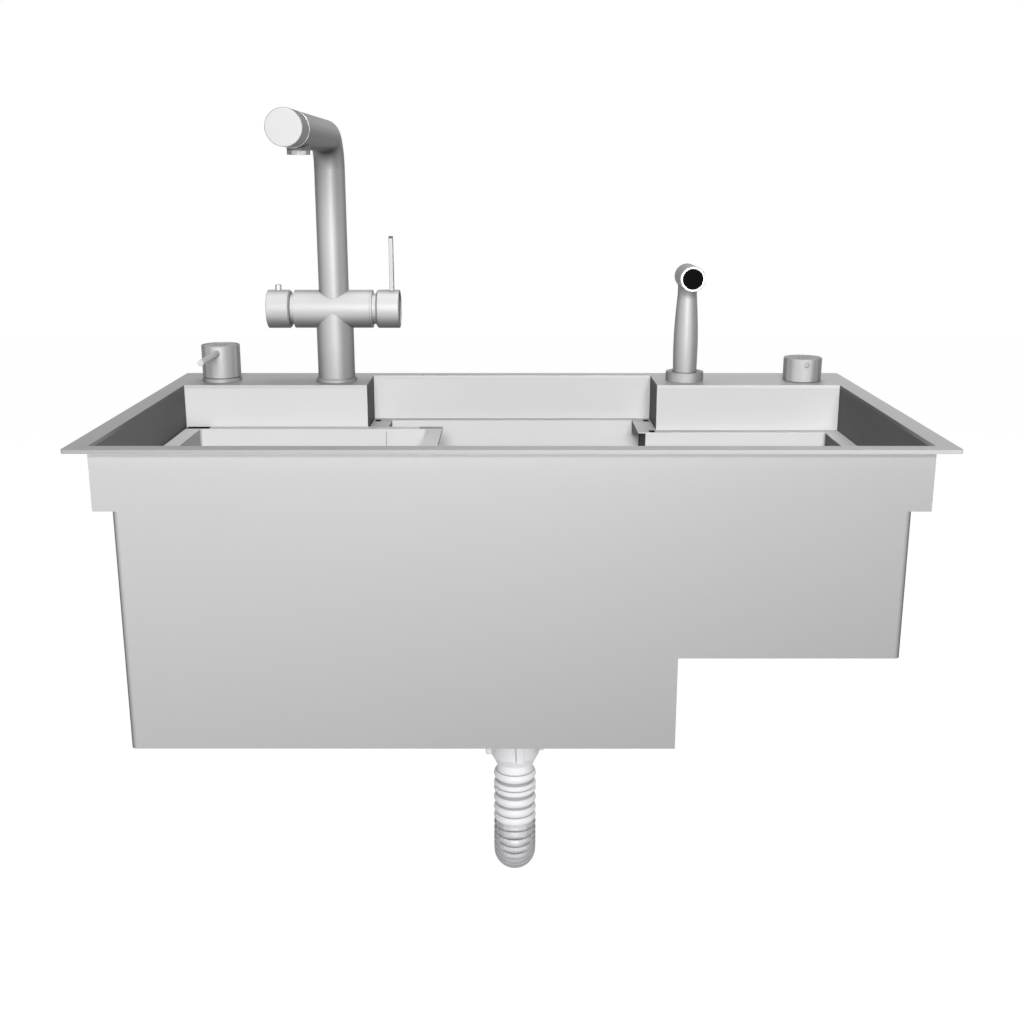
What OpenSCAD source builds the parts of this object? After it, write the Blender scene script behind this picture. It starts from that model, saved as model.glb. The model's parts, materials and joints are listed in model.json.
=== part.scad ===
// Drop-in kitchen sink with one stepped bowl, two tap decks, a three-way mixer tap, a soap dispenser,
// a hand spray, a waste control knob, a sliding tray and a basket waste. The rim's underside is at z = 0,
// the seal's thickness above the worktop: the bowl hangs below it and the taps stand above it.

/* [Rim] */
// Overall width of the rim
rim_w = 850; // [800:1:920]
// Overall depth of the rim, front to back
rim_d = 480; // [460:1:520]
// Thickness of the rim plate
rim_t = 4; // [2.5:0.5:6]
// Radius of the rim's four outer corners
rim_corner_r = 3; // [1:0.5:12]
// Width of the rim's top at the two sides
side_strip = 20.8; // [16:0.2:40]
// Width of the rim's top at the front
front_strip = 18; // [14:0.5:40]
// Width of the rim's top behind the bowl
back_strip = 20.8; // [14:0.2:30]
// Depth of the two tap decks, front to back
deck_d = 99.7; // [90:0.1:110]
// Distance of the taps' line from the rim's back edge
deck_axis_back = 58; // [50:0.5:60]
// Width of each tap deck, from the rim's side to the niche
deck_w = 246.1; // [240:0.1:250]

/* [Bowl] */
// Thickness of the bowl's sheet
sheet_t = 1.2; // [1:0.1:2]
// Drop from the rim's top to the accessory ledge
ledge_drop = 56.4; // [50:0.2:70]
// Width of the ledge at the two sides
ledge_side_w = 18.2; // [16:0.1:24]
// Width of the ledge in front of the tap decks
ledge_deck_w = 14.8; // [12:0.1:20]
// Width of the ledge at the back of the niche
ledge_niche_w = 8.6; // [6:0.1:14]
// How far the ledge beside each tap deck reaches over the bowl
ledge_reach = 9; // [5:0.5:12]
// Height of the stiffener under each side ledge
rail_h = 6.9; // [5:0.1:12]
// Drop from the rim's top to the underside of the deep floor
deep_drop = 314; // [280:1:330]
// Drop from the rim's top to the underside of the shallow floor
shallow_drop = 216; // [190:1:240]
// How far the deep floor's right end stands inside the niche's side
step_in = 13.1; // [11:0.1:16]
// Outer radius of the bowl's upright corners
bowl_corner_r = 6; // [4:0.5:20]
// Width of the rail inside the front wall
front_rail_w = 12.5; // [10:0.5:18]
// Thickness of the sound-deadening pads
pad_t = 2; // [1:0.5:4]

/* [Waste] */
// Where the waste's axis lies, right of the middle
drain_x = 3.6; // [-20:0.1:40]
// Radius of the waste's flange
flange_r = 56; // [53:0.5:60]
// Inner radius of the waste's throat
throat_r = 41.5; // [38:0.5:44]
// Length of the throat under the floor
throat_len = 46; // [40:1:55]
// Outer radius of the white winged nut
wing_nut_r = 29; // [27:0.5:32]
// Gap between the funnel's taper and the winged nut
nut_gap = 9.4; // [2:0.1:30]
// Outer radius of the ribbed pipe
pipe_r = 25.6; // [23:0.1:28]
// Depth of the grooves between the pipe's ribs
groove_depth = 2.4; // [1:0.1:4]
// Wall of the pipe at its grooves
pipe_wall = 2; // [1.5:0.1:3]
// Length of plain white pipe between the winged nut and the first rib
neck_show = 15.4; // [8:0.1:30]
// Length over the six white ribs, crest to crest
bellows_len = 56.3; // [50:0.1:70]
// Radius of the pipe's bend at its middle line
bend_r = 54; // [45:0.5:70]
// Length of straight ribbed pipe above the bend
bend_straight = 10; // [2:0.5:30]
// Outer radius of the outlet spigot
outlet_r = 20; // [16:0.5:22]
// Length of the outlet spigot outside the bend
outlet_len = 32; // [25:1:60]

/* [Mixer tap] */
// Distance of the tap's axis from the niche's left side
tap_inset = 42.3; // [38:0.1:60]
// Radius of the tap's base ring
tap_ring_r = 25.7; // [24.5:0.1:29]
// Radius of the tap's column
column_r = 23; // [20:0.1:23.1]
// Radius of the cross body
cross_r = 23.4; // [23.3:0.1:25]
// Height of the cross body's axis above the rim's top
cross_h = 89.2; // [80:0.2:110]
// Half length of the cross body
cross_half = 48.2; // [46:0.2:56]
// Length of the neck between the cross body and a knob
neck_len = 5; // [4:0.2:8]
// Length of the two knobs
knob_len = 28.5; // [26:0.5:34]
// Radius of the two knobs
knob_r = 23.6; // [22.5:0.1:25]
// Height of the lever above the knob
lever_h = 65; // [50:1:90]
// Thickness of the lever
lever_t = 5; // [4:0.2:7]
// Width of the lever at its foot
lever_w = 13; // [10:0.5:16]
// Outer radius of the spout tube
spout_r = 18.5; // [15:0.1:19]
// Height of the spout's level arm above the rim's top
spout_h = 294.6; // [240:0.2:340]
// Reach of the spout from the tap's axis to its end
spout_reach = 307; // [240:1:340]
// Radius of the spout's bend at its middle line
spout_bend_r = 38; // [34:1:60]
// Distance of the aerator from the spout's end
aerator_back = 84; // [60:1:100]
// Length of the spout's end cap
end_cap_len = 42; // [20:1:46]
// Outer radius of the aerator
aerator_r = 12.1; // [10:0.1:13]

/* [Soap dispenser] */
// Distance of the soap dispenser and of the waste control from the rim's sides
outer_inset = 59; // [50:1:75]
// Radius of the soap dispenser
soap_r = 23.7; // [20:0.1:26]
// Height of the soap dispenser above the rim's top
soap_h = 45; // [38:0.5:55]
// Reach of the soap nozzle from the dispenser's axis
nozzle_reach = 105.4; // [70:0.2:130]
// Outer radius of the soap nozzle
nozzle_r = 3.75; // [3:0.05:5]
// Travel of the soap button
soap_travel = 7; // [4:0.5:9]

/* [Hand spray] */
// Distance of the hand spray's axis from the niche's right side
spray_inset = 38.8; // [32:0.1:55]
// Radius of the spray holder's flange
holder_r = 23.6; // [21:0.1:26]
// Height of the spray holder's flange
holder_h = 11.5; // [8:0.5:16]
// Largest radius of the spray's grip
grip_r = 15.2; // [13:0.1:17]
// Height of the spray head's axis above the rim's top
head_h = 129; // [120:0.5:150]
// Radius of the spray head
head_r = 15.2; // [13:0.1:17]
// Length of the spray head in front of the grip's axis
head_front = 47; // [35:0.5:60]
// Length of the spray head behind the grip's axis
head_back = 12; // [11:0.5:20]
// Radius of the black spray face
face_r = 12.4; // [10:0.1:12.8]

/* [Waste control] */
// Radius of the waste control knob
control_r = 23.7; // [20:0.1:26]
// Height of the waste control knob above the rim's top
control_h = 28.9; // [24:0.1:36]

/* [Tray] */
// Width of the sliding tray over its flanges
tray_w = 316; // [280:1:340]
// Depth of the tray's tub under its flange
tray_depth = 95; // [60:1:120]
// Width of the tray's flange at the front and back
tray_flange_w = 14.5; // [14.4:0.1:20]
// Width of the tray's flange at the two sides
tray_side_w = 17.3; // [16.5:0.1:22]
// Height of the tray's flange above the ledge
tray_lift = 4.6; // [3:0.1:8]
// Thickness of the tray's sheet
tray_t = 1; // [0.8:0.1:1.5]

/* [Hidden] */

$fn = 96;
overrun = 1;
run_gap = 0.05;
part_gap = 0.3;
free_gap = 0.8;

open_hw = rim_w / 2 - side_strip;
open_front = -rim_d / 2 + front_strip;
open_back = rim_d / 2 - back_strip;
deck_front = rim_d / 2 - deck_d;
deck_y = rim_d / 2 - deck_axis_back;
ledge_z = rim_t - ledge_drop;
ledge_under = ledge_z - sheet_t;
rail_z = ledge_under - rail_h;
deep_z = rim_t - deep_drop;
shallow_z = rim_t - shallow_drop;
low_hw = open_hw - ledge_side_w;
low_back = deck_front - ledge_deck_w;
low_niche_back = open_back - ledge_niche_w;
niche_half_w = rim_w / 2 - deck_w;
step_x = niche_half_w - step_in;
low_niche_hw = step_x - sheet_t;
reach_hw = low_niche_hw - ledge_reach;
floor_top = deep_z + sheet_t;
front_outer = open_front - sheet_t;
flat_hw = low_hw + sheet_t - bowl_corner_r;
tap_x = niche_half_w + tap_inset;
outer_x = rim_w / 2 - outer_inset;
spray_x = niche_half_w + spray_inset;
seal_edge = 5;
seal_w = 9;
rim_seal_t = 1;

tap_hole_r = 17.5;
deck_hole_r = 14.5;
relief_in = 9.4;
relief_x = niche_half_w - relief_in;
insert_drop = 2;
relief_w = 7;
relief_d = 13;
relief_edge = 1.5;

drain_hole_gap = 3.5;
drain_hole_r = throat_r + drain_hole_gap;
flange_t = 2;
throat_wall = 1.8;
gusset_h = 16.6;
throat_lip = 2;
lip_w = 6;
throat_seat = 6;
seat_w = 2;
drain_gasket_t = 3;
lock_ring_t = 10;
lock_ring_w = 9;
lug_half_w = 3;
lug_reach = 3;
lug_step = 0.5;
lug_count = 8;
waste_wall = 3;
waste_socket_h = 20;
waste_taper_h = 30;
waste_outlet_r = 22;
wing_nut_h = 26;
wing_nut_taper_h = 11.3;
wing_nut_throat_r = 23.3;
wing_w = 8;
wing_lift = 0.6;
wing_reach = 6.2;
wing_turn = 9.6;
wing_count = 4;
neck_r = 20.9;
cuff_r = 18.4;
cuff_wall = 2.2;
bellows_shares = [0, 0.22, 0.35, 0.57, 0.80, 1];
rib_half = 5;
rib_cuts = 3;
bend_sides = 32;
bend_pitch = 8.25;
bend_tail = 20.7;
funnel_top = floor_top - throat_len + waste_socket_h;
funnel_seat = floor_top - throat_len - part_gap;
funnel_low = funnel_seat - waste_taper_h;
nut_foot = funnel_low - nut_gap - wing_nut_h;
nut_low = nut_foot - wing_nut_taper_h;
funnel_foot = (nut_foot + nut_low) / 2;
rib_top_z = nut_low - neck_show;
pipe_bore_r = pipe_r - groove_depth - pipe_wall;
neck_bore_r = cuff_r - cuff_wall;
cuff_outer_r = pipe_bore_r - part_gap;

ring_h = 4.6;
shank_r = 16.5;
shank_len = 52;
nut_t = 8;
port_r = 4.2;
port_circle = 9;
port_count = 3;
spout_bore_r = spout_r + run_gap;
spout_wall = 2;
spout_foot = 5;
cartridge_r = 17.6;
cartridge_len = 24;
spindle_r = 6;
neck_ring_r = 18.8;
end_groove = 0.6;
end_groove_back = 2;
knob_chamfer = 2;
knob_wall = 2.4;
knob_floor = 3;
knob_recess = 1.4;
pivot_r = 2.5;
pivot_in = 9;
boss_r = 5;
boss_len = 6;
lever_out = 9.5;
lever_tip_w = 9;
lever_sink = 3;
pin_r = 3.8;
pin_h = 6.4;
pin_sink = 3;
pin_from_end = 13;
boss_drop = 2;
aerator_drop = 6.1;
aerator_wall = 1.8;
seam_w = 1;
seam_proud = 0.35;
plug_len = 12;
flow_r = 1.2;
flow_rings = [[5.4, 8], [2.3, 4]];

soap_ring_over = 0.6;
soap_ring_r = soap_r + soap_ring_over;
soap_ring_h = 5;
sleeve_wall = 2.2;
button_gap = 0.4;
button_t = 3;
spring_packed = 5.3;
button_well = button_t + soap_travel + spring_packed;
stem_len = 63;
pump_r = 5.1;
soap_tube_r = 9;
deck_shank_r = 14;
deck_shank_len = 42;
bottle_r = 31;
bottle_h = 110;
bottle_neck_h = 16;
bottle_wall = 1.5;
nozzle_z = soap_h - 2 * nozzle_r - sheet_t;
nozzle_end = 4;
nozzle_out_r = 1.5;
spring_wall = 1;
hex_sides = 6;
nut_over = 8;

socket_r = 11;
socket_depth = 5;
grip_foot_share = 0.96;
swell_share = 0.35;
grip_top_r = 11.9;
grip_top_h = 107;
grip_tail = 26;
grip_steps = 12;
face_ring_len = 4;
face_sink = 1.2;
face_depth = 5;
jet_r = 0.7;
jet_h = 0.8;
jet_rings = [[5, 6], [9, 12]];
trigger_w = 12;
trigger_h = 26;
trigger_t = 3;
trigger_round = 18;
trigger_travel = 1.6;
trigger_z = 96;

screw_share = 0.76;
screw_r = 3.4;
screw_depth = 1.5;
mark_depth = 0.5;
mark_w = 1.2;
mark_l = 6;

basket_gap = 0.5;
basket_rim_t = 1.4;
basket_wall = 1.2;
basket_depth = 30;
basket_slots = 8;
slot_w = 3;
guide_r = 6;
stem_r = 4;
plug_t = 3;
plug_seal = 1.4;
dome_drop = 0.3;

tray_side_gap = 2.2;
tray_left = -open_hw + tray_side_gap;
hem_t = 3;
glide_l = 28;
glide_w = 11.5;
floor_t = 1;
tray_corner_r = 6;
slot_cols = 5;
slot_rows = 9;
tray_slot_w = 6;
tray_slot_margin = 24;
slot_share = 0.7;
tub_seam_in = 247;
tub_seam_w = 0.6;
tub_seam_d = 0.3;

steel = [0.78, 0.78, 0.79];
satin = [0.70, 0.70, 0.71];
chrome = [0.86, 0.86, 0.88];
white = [0.93, 0.93, 0.95];
grey = [0.55, 0.55, 0.58];
black = [0.05, 0.05, 0.05];
cream = [0.90, 0.90, 0.88];
pad_grey = [0.35, 0.35, 0.37];
glide_grey = [0.45, 0.45, 0.47];
brass = [0.78, 0.62, 0.30];

// A rectangle from one corner to the other, with four round corners
module round_rect(x0, y0, x1, y1, r) {
  for (x = [x0 + r, x1 - r], y = [y0 + r, y1 - r]) translate([x, y]) circle(r);
  translate([x0 + r, y0]) square([x1 - x0 - 2 * r, y1 - y0]);
  translate([x0, y0 + r]) square([x1 - x0, y1 - y0 - 2 * r]);
}

// A rectangle from one corner to the other
module rect(x0, y0, x1, y1) {
  translate([x0, y0]) square([x1 - x0, y1 - y0]);
}

// A block from one corner to the other
module block(x0, y0, z0, x1, y1, z1) {
  translate([x0, y0, z0]) cube([x1 - x0, y1 - y0, z1 - z0]);
}

// A flat outline raised from z0 to z1
module slab(z0, z1) {
  translate([0, 0, z0]) linear_extrude(z1 - z0) children();
}

// An upright ring
module ring(r_in, r_out, z0, z1) {
  translate([0, 0, z0]) rotate_extrude() translate([r_in, 0]) square([r_out - r_in, z1 - z0]);
}

// An upright drum
module drum(r, z0, z1) {
  translate([0, 0, z0]) cylinder(r = r, h = z1 - z0);
}

// A drum with its lower and upper edges bevelled by low and high
module bevel_drum(r, z0, z1, low, high) {
  side = [[r - low, z0], [r, z0 + low], [r, z1 - high], [r - high, z1]];
  rotate_extrude() polygon(concat([[0, z0]], side, [[0, z1]]));
}

// Lays an upright piece along +x
module along_x() {
  rotate([0, 90, 0]) children();
}

// Lays an upright piece along -y
module along_front() {
  rotate([90, 0, 0]) children();
}

// Places of the taps on the decks, from the rim's top
module at_tap() {
  translate([-tap_x, deck_y, rim_t]) children();
}

module at_soap() {
  translate([-outer_x, deck_y, rim_t]) children();
}

module at_spray() {
  translate([spray_x, deck_y, rim_t]) children();
}

module at_control() {
  translate([outer_x, deck_y, rim_t]) children();
}

module at_drain() {
  translate([drain_x, 0, 0]) children();
}

// Plan of the opening inside the upper tier, grown outward by out
module tier_plan(out) {
  difference() {
    rect(-open_hw - out, open_front - out, open_hw + out, open_back + out);
    for (s = [-1, 1]) scale([s, 1])
      rect(niche_half_w + out, deck_front + out, open_hw + out + overrun, open_back + out + overrun);
  }
}

// Plan of the lower bowl, grown outward by out
module low_plan(out) {
  r = bowl_corner_r - sheet_t + out;
  round_rect(-low_hw - out, open_front - out, low_hw + out, low_back + out, r);
  rect(-low_niche_hw - out, 0, low_niche_hw + out, low_niche_back + out);
}

// Plan of the hole inside the ledge, which the ledge narrows beside the tap decks
module ledge_hole_plan() {
  rect(-low_hw, open_front - overrun, low_hw, low_back);
  rect(-reach_hw, 0, reach_hw, low_niche_back);
}

module rim_plate() {
  color(steel) difference() {
    slab(0, rim_t) difference() {
      round_rect(-rim_w / 2, -rim_d / 2, rim_w / 2, rim_d / 2, rim_corner_r);
      tier_plan(0);
    }
    at_tap() drum(tap_hole_r, -rim_t - overrun, overrun);
    at_soap() drum(deck_hole_r, -rim_t - overrun, overrun);
    at_spray() drum(deck_hole_r, -rim_t - overrun, overrun);
    at_control() drum(deck_hole_r, -rim_t - overrun, overrun);
  }
}

// Foam strips under the rim's overhang, one along each side
module rim_seal() {
  x0 = rim_w / 2 - seal_edge - seal_w;
  y0 = rim_d / 2 - seal_edge - seal_w;
  color(pad_grey) for (s = [-1, 1]) {
    scale([s, 1, 1]) block(x0, -y0 - seal_w, -rim_seal_t, x0 + seal_w, y0 + seal_w, 0);
    scale([1, s, 1]) block(-x0 + part_gap, y0, -rim_seal_t, x0 - part_gap, y0 + seal_w, 0);
  }
}

// Upright walls between the rim and the ledge, round the two deck boxes and the niche
module upper_walls() {
  color(steel) slab(ledge_z, 0) difference() {
    tier_plan(sheet_t);
    tier_plan(0);
    rect(-open_hw - sheet_t - overrun, front_outer - overrun, open_hw + sheet_t + overrun, open_front);
  }
}

// Cuts in the ledge where it bends round the corners of the deck boxes, shrunk by gap
module relief_plan(gap) {
  for (s = [-1, 1]) scale([s, 1]) for (y = [low_back + relief_edge, low_niche_back - relief_d])
    rect(relief_x + gap, y + gap, relief_x + relief_w - gap, y + relief_d - gap);
}

// Accessory ledge: strips at the two sides, in front of the deck boxes and across the niche
module ledge() {
  color(steel) slab(ledge_under, ledge_z) difference() {
    tier_plan(sheet_t);
    ledge_hole_plan();
    rect(-open_hw - sheet_t - overrun, front_outer - overrun, open_hw + sheet_t + overrun, open_front);
    relief_plan(0);
  }
}

// Black inserts that close the cuts in the ledge
module ledge_inserts() {
  color(black) slab(ledge_under - insert_drop, ledge_z - run_gap) relief_plan(run_gap);
}

// Under the ledge: box sections open at both ends at the two sides, triangular plates beside the niche
module ledge_supports() {
  inner = low_hw + sheet_t;
  outer = open_hw + sheet_t;
  color(steel) for (s = [-1, 1]) scale([s, 1, 1]) {
    difference() {
      block(inner, open_front, rail_z, outer, deck_front + sheet_t, ledge_under);
      block(inner + sheet_t, open_front - overrun, rail_z + sheet_t, outer - sheet_t,
        deck_front + sheet_t + overrun, ledge_under - sheet_t);
    }
    translate([reach_hw, 0, ledge_under]) rotate([90, 0, 90]) linear_extrude(sheet_t)
      polygon([[low_back, 0], [low_niche_back, 0], [low_niche_back, -gusset_h]]);
  }
}

// One flat sheet from the rim down to both floors
module front_panel() {
  color(steel) {
    block(-open_hw - sheet_t, front_outer, rail_z, open_hw + sheet_t, open_front, 0);
    block(-flat_hw, front_outer, shallow_z, flat_hw, open_front, rail_z);
    block(-flat_hw, front_outer, deep_z, step_x, open_front, shallow_z);
  }
}

// Side walls of the lower bowl with its upright corners and the walls in front of the deck boxes
module bowl_walls() {
  color(steel) difference() {
    for (q = [[-1, deep_z], [1, shallow_z]]) slab(q[1], ledge_under) intersection() {
      difference() {
        low_plan(sheet_t);
        low_plan(0);
      }
      scale([q[0], 1]) rect(step_x, -rim_d, rim_w, rim_d);
    }
    block(-flat_hw, front_outer - overrun, deep_z - overrun, flat_hw, open_front + sheet_t, overrun);
    block(-rim_w, front_outer - overrun, rail_z, rim_w, open_front, overrun);
  }
}

// Lower walls of the niche between the deck boxes
module niche_walls() {
  color(steel) slab(deep_z, ledge_under) difference() {
    rect(-step_x, low_back, step_x, low_niche_back + sheet_t);
    rect(-low_niche_hw, low_back - overrun, low_niche_hw, low_niche_back);
  }
}

// Deep floor with the waste's hole
module deep_floor() {
  color(steel) difference() {
    slab(deep_z, floor_top) intersection() {
      low_plan(0);
      rect(-rim_w, -rim_d, low_niche_hw, rim_d);
    }
    at_drain() drum(drain_hole_r, deep_z - overrun, floor_top + overrun);
  }
}

// Raised floor at the right and the step down to the deep floor
module shallow_floor() {
  color(steel) {
    slab(shallow_z, shallow_z + sheet_t) intersection() {
      low_plan(0);
      rect(low_niche_hw, -rim_d, rim_w, low_back);
    }
    block(low_niche_hw, open_front, deep_z, step_x, low_back, shallow_z + sheet_t);
  }
}

// Folded rail inside the front wall that carries the tray's front flange
module front_rail() {
  leg = rail_h * 2;
  color(steel) {
    block(-low_hw + bowl_corner_r, open_front, ledge_z - sheet_t, low_hw - bowl_corner_r,
      open_front + front_rail_w, ledge_z);
    block(-low_hw + bowl_corner_r, open_front, ledge_z - leg, low_hw - bowl_corner_r,
      open_front + sheet_t, ledge_z - sheet_t);
  }
}

// Two pads under the deep floor, left of the waste, and one under the shallow floor
module sound_pads() {
  edge = 2 * bowl_corner_r;
  mid = (-low_hw + drain_x - flange_r) / 2;
  left_end = drain_x - flange_r - edge;
  color(pad_grey) {
    block(-low_hw + edge, open_front + edge, deep_z - pad_t, mid - edge / 2, low_back - edge, deep_z);
    block(mid + edge / 2, open_front + edge, deep_z - pad_t, left_end, low_back - edge, deep_z);
    block(step_x + edge, open_front + edge, shallow_z - pad_t, low_hw - edge, low_back - edge, shallow_z);
  }
}

// Strainer cup with a dished flange on the floor, a seat for the basket and a lip at its foot
module drain_flange() {
  top = floor_top + flange_t;
  foot = floor_top - throat_len;
  out = throat_r + throat_wall;
  color(chrome) at_drain() rotate_extrude() polygon([
    [flange_r, floor_top], [flange_r, floor_top + flange_t / 2], [flange_r - flange_t, top],
    [throat_r + flange_t, top], [throat_r, top - flange_t], [throat_r, top - throat_seat],
    [throat_r - seat_w, top - throat_seat], [throat_r - seat_w, foot + throat_lip],
    [throat_r - lip_w, foot + throat_lip], [throat_r - lip_w, foot], [out, foot], [out, floor_top]
  ]);
}

module drain_gasket() {
  color(black) at_drain()
    ring(throat_r + throat_wall + part_gap, flange_r - part_gap, deep_z - drain_gasket_t, deep_z);
}

module drain_lock_ring() {
  z1 = deep_z - drain_gasket_t;
  r_in = throat_r + throat_wall + run_gap;
  color(white) at_drain() {
    difference() {
      union() {
        drum(r_in + lock_ring_w, z1 - lock_ring_t, z1);
        for (i = [0 : lug_count - 1]) rotate(i * 360 / lug_count)
          block(r_in + lock_ring_w / 2, -lug_half_w, z1 - lock_ring_t + lug_step,
            r_in + lock_ring_w + lug_reach, lug_half_w, z1 - lug_step);
      }
      drum(r_in, z1 - lock_ring_t - overrun, z1 + overrun);
    }
  }
}

// White funnel that takes the throat's foot and narrows to its outlet
module waste_body() {
  r_in = throat_r + throat_wall + run_gap;
  r_out = r_in + waste_wall;
  bore = waste_outlet_r - waste_wall;
  color(white) at_drain() rotate_extrude() polygon([
    [r_in, funnel_top], [r_out, funnel_top], [r_out, funnel_seat],
    [waste_outlet_r, funnel_low], [waste_outlet_r, funnel_foot], [bore, funnel_foot],
    [bore, funnel_low], [r_in - waste_wall, funnel_seat], [r_in, funnel_seat]
  ]);
}

// Winged nut on the funnel's outlet, tapered towards the pipe
module wing_nut() {
  top = nut_foot + wing_nut_h;
  color(white) at_drain() difference() {
    union() {
      rotate_extrude() polygon([[0, top], [wing_nut_r, top], [wing_nut_r, nut_foot],
        [wing_nut_throat_r, nut_low + sheet_t], [wing_nut_throat_r, nut_low], [0, nut_low]]);
      for (i = [0 : wing_count - 1]) rotate(wing_turn + i * 360 / wing_count)
        block(wing_nut_r - wing_reach / 2, -wing_w / 2, nut_foot + wing_lift, wing_nut_r + wing_reach,
          wing_w / 2, top - sheet_t);
    }
    drum(neck_r + run_gap, nut_low - overrun, top + overrun);
    drum(waste_outlet_r + run_gap, funnel_foot - run_gap, top + overrun);
  }
}

function wave(s) = cos(90 * s);

// Half outline of one rib, from its upper groove to its lower groove
function rib_points(z, half, r_low, r_high) =
  [for (i = [-rib_cuts : rib_cuts])
    [r_low + (r_high - r_low) * wave(i / rib_cuts), z - i * half / rib_cuts]];

// White bellows pipe: a plain neck, six ribs stretched to uneven spacing, and a cuff inside the bend
module bellows_pipe() {
  top = funnel_foot - run_gap;
  places = [for (s = bellows_shares) rib_top_z - s * bellows_len];
  count = len(places);
  gap = [for (i = [0 : count - 2]) (places[i] - places[i + 1] - part_gap) / 2];
  half = [for (i = [0 : count - 1])
    min(rib_half, i < count - 1 ? gap[i] : rib_half, i > 0 ? gap[i - 1] : rib_half)];
  low = places[count - 1] - half[count - 1];
  low_r = pipe_r - groove_depth;
  cuff_end = low - bend_pitch;
  outline = [for (i = [0 : count - 1]) for (p = rib_points(places[i], half[i], low_r, pipe_r)) p];
  color(white) at_drain() rotate_extrude() polygon(concat(
    [[neck_bore_r, top], [neck_r, top], [neck_r, places[0] + half[0] + sheet_t],
      [low_r, places[0] + half[0]]],
    outline,
    [[cuff_outer_r, low], [cuff_outer_r, cuff_end], [neck_bore_r, cuff_end]]
  ));
}

// The bend's middle line: straight down, a quarter turn to the back, then level
bend_top = rib_top_z - bellows_len - rib_half;
bend_z = bend_top - bend_straight;
bend_arc = bend_r * PI / 2;
bend_total = bend_straight + bend_arc + bend_tail;
bend_ribs = floor(bend_total / bend_pitch);
rib_step = bend_total / bend_ribs;

// Place and direction on the middle line at distance s: [y, z, angle from straight down]
function bend_at(s) =
  s <= bend_straight ? [0, bend_top - s, 0] :
  s <= bend_straight + bend_arc ?
    let (a = (s - bend_straight) / bend_r * 180 / PI)
    [bend_r * (1 - cos(a)), bend_z - bend_r * sin(a), a] :
  [bend_r + s - bend_straight - bend_arc, bend_z - bend_r, 90];

function bend_ring(s, r) =
  let (p = bend_at(s))
  [for (i = [0 : bend_sides - 1]) let (t = i * 360 / bend_sides, u = r * cos(t), v = r * sin(t))
    [u, p[0] - v * cos(p[2]), p[1] - v * sin(p[2])]];

// Four rings for each rib: groove, rise, crest and fall
rib_shares = [0, 0.3, 0.5, 0.7];
rise_shares = [0, 0.8, 1, 0.8];

module ribbed_bend() {
  low_r = pipe_r - groove_depth;
  outer = [for (n = [0 : bend_ribs - 1]) for (k = [0 : len(rib_shares) - 1])
    [(n + rib_shares[k]) * rib_step, low_r + groove_depth * rise_shares[k]]];
  outer_rings = concat(outer, [[bend_total, low_r]]);
  inner_rings = [for (n = [bend_ribs : -1 : 0]) [n * rib_step, pipe_bore_r]];
  all_rings = concat(outer_rings, inner_rings);
  count = len(all_rings);
  points = [for (q = all_rings) each bend_ring(q[0], q[1])];
  faces = [for (j = [0 : count - 1]) for (i = [0 : bend_sides - 1])
    let (a = j * bend_sides, b = ((j + 1) % count) * bend_sides, k = (i + 1) % bend_sides)
    each [[a + i, a + k, b + i], [a + k, b + k, b + i]]];
  color(grey) at_drain() polyhedron(points, faces);
}

// Level spigot at the bend's end, with a collar against the last groove
module outlet_spigot() {
  y = bend_r + bend_tail;
  wall = pipe_wall + sheet_t;
  color(grey) translate([drain_x, y, bend_z - bend_r]) rotate([-90, 0, 0]) {
    ring(pipe_bore_r - wall, pipe_bore_r - part_gap, -bend_pitch, 0);
    ring(pipe_bore_r - wall, pipe_r - groove_depth, 0, rib_half);
    ring(outlet_r - wall, outlet_r, rib_half, rib_half + outlet_len);
  }
}

module tap_base_ring() {
  color(satin) at_tap() rotate_extrude() polygon([
    [tap_hole_r, 0], [tap_ring_r, 0], [tap_ring_r, ring_h / 2],
    [column_r + sheet_t, ring_h - sheet_t / 2], [column_r + sheet_t / 2, ring_h], [tap_hole_r, ring_h]
  ]);
}

// Column and cross body, bored for the spout from above and for a cartridge from each end
module tap_body() {
  inner = cross_half - cartridge_len;
  color(satin) at_tap() difference() {
    union() {
      drum(column_r, ring_h, cross_h);
      translate([0, 0, cross_h]) along_x() drum(cross_r, -cross_half, cross_half);
    }
    translate([0, 0, cross_h]) {
      drum(spout_bore_r, -spout_foot - run_gap, cross_r + overrun);
      for (s = [-1, 1]) scale([s, 1, 1]) along_x() drum(cartridge_r, inner, cross_half + overrun);
      along_x() ring(cross_r - end_groove, cross_r + overrun, cross_half - end_groove_back - end_groove,
        cross_half - end_groove_back);
    }
  }
}

// Shank under the tap with three supply ways, one behind the tap's axis and two in front of it
module tap_shank() {
  color(brass) at_tap() difference() {
    drum(shank_r, -rim_t - shank_len, ring_h);
    for (i = [0 : port_count - 1]) rotate(90 + i * 360 / port_count) translate([port_circle, 0, 0])
      drum(port_r, -rim_t - shank_len - overrun, ring_h + overrun);
  }
}

module tap_shank_nut() {
  color(brass) at_tap() difference() {
    translate([0, 0, -rim_t - nut_t]) cylinder(r = shank_r + nut_over, h = nut_t, $fn = hex_sides);
    drum(shank_r + run_gap, -rim_t - nut_t - overrun, overrun - rim_t);
  }
}

// Two identical cartridges: the mixer's at the right and the filter tap's at the left
module tap_cartridges() {
  color(white) at_tap() translate([0, 0, cross_h]) for (s = [-1, 1]) scale([s, 1, 1]) along_x()
    ring(spindle_r + run_gap, cartridge_r - run_gap, cross_half - cartridge_len, cross_half);
}

// Two identical collars between the cross body and the knobs
module neck_collars() {
  color(satin) at_tap() translate([0, 0, cross_h]) for (s = [-1, 1]) scale([s, 1, 1]) along_x()
    ring(spindle_r + part_gap, neck_ring_r, cross_half, cross_half + neck_len - part_gap);
}

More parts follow.
